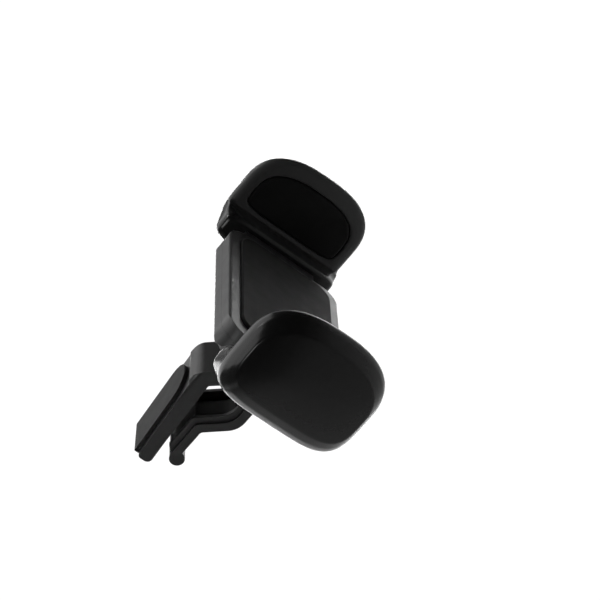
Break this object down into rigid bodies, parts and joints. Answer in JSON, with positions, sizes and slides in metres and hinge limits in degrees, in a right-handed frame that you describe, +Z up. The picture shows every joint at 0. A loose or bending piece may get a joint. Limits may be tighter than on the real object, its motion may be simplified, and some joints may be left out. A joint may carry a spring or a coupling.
{
  "type": "air vent phone holder",
  "caption": "Black phone holder for a car air vent: a sprung blade clip, a ball joint with a collar nut, and a cradle with two domed jaws that slide together.",
  "frame": {"origin": "centre of the front face of the rest pad, the face that the phone's back lies on", "axes": "+X to the right of the cradle seen by the driver, +Y back towards the vent, +Z up, with the phone held upright"},
  "size_m": [0.086, 0.0633, 0.0314],
  "materials": {
    "satin_black": "satin moulded plastic with a fine spark-eroded grain",
    "gloss_black": "smooth near-gloss moulded plastic",
    "soft_black": "soft-touch overmould",
    "rubber_black": "matt silicone rubber",
    "pale_plastic": "natural acetal",
    "steel": "zinc-plated steel",
    "dark_steel": "black oxide steel"
  },
  "bodies": {
    "clip": {"clip_frame": "satin_black", "thumb_pad": "soft_black", "upper_grip": "soft_black", "hinge_pin": "steel", "torsion_spring": "steel", "ball_stud": "satin_black", "stud_screw": "steel"},
    "lever": {"clip_lever": "satin_black", "lower_grip": "soft_black"},
    "seat": {"ball_seat": "pale_plastic"},
    "dish": {"friction_dish": "rubber_black"},
    "cradle": {"socket_cup": "satin_black", "rear_cover": "satin_black", "front_cover": "satin_black", "rest_pad": "rubber_black", "pinion_axle": "steel", "cover_screws": "dark_steel"},
    "collar": {"collar_nut": "satin_black"},
    "gear": {"pinion": "pale_plastic"},
    "jaw_right": {"right_arm": "satin_black", "right_jaw": "gloss_black", "right_jaw_pad": "rubber_black", "right_spring": "steel"},
    "jaw_left": {"left_arm": "satin_black", "left_jaw": "gloss_black", "left_jaw_pad": "rubber_black", "left_spring": "steel"}
  },
  "joints": [
    {"name": "lever_squeeze", "type": "hinge", "parent": "clip", "child": "lever", "pos_m": [0, 0.0206, -0.0041], "axis": [-1, 0, 0], "range_deg": [0, 12], "stiffness_Nm_per_rad": 0.1, "springref_deg": -11.46, "deforming": ["torsion_spring"]},
    {"name": "ball_tilt", "type": "hinge", "parent": "clip", "child": "seat", "pos_m": [0, 0.0123, 0], "axis": [1, 0, 0], "range_deg": [-15, 15]},
    {"name": "ball_pan", "type": "hinge", "parent": "seat", "child": "dish", "pos_m": [0, 0.0123, 0], "axis": [0, 0, 1], "range_deg": [-15, 15]},
    {"name": "ball_spin", "type": "hinge", "parent": "dish", "child": "cradle", "pos_m": [0, 0.0123, 0], "axis": [0, 1, 0], "continuous": true},
    {"name": "collar_turn", "type": "hinge", "parent": "cradle", "child": "collar", "pos_m": [0, 0.0123, 0], "axis": [0, 1, 0], "range_deg": [0, 270]},
    {"name": "right_slide", "type": "slide", "parent": "cradle", "child": "jaw_right", "axis": [1, 0, 0], "range_m": [-0.005, 0.009], "deforming": ["right_spring"]},
    {"name": "left_slide", "type": "slide", "parent": "cradle", "child": "jaw_left", "axis": [-1, 0, 0], "range_m": [-0.005, 0.009], "deforming": ["left_spring"]},
    {"name": "pinion_spin", "type": "hinge", "parent": "cradle", "child": "gear", "pos_m": [0, 0.0036, 0], "axis": [0, 1, 0], "range_deg": [-64, 115]}
  ],
  "couplings": [
    {"joint": "left_slide", "follows": "right_slide", "ratio": 1},
    {"joint": "pinion_spin", "follows": "right_slide", "rad_per_m": 222.22}
  ]
}
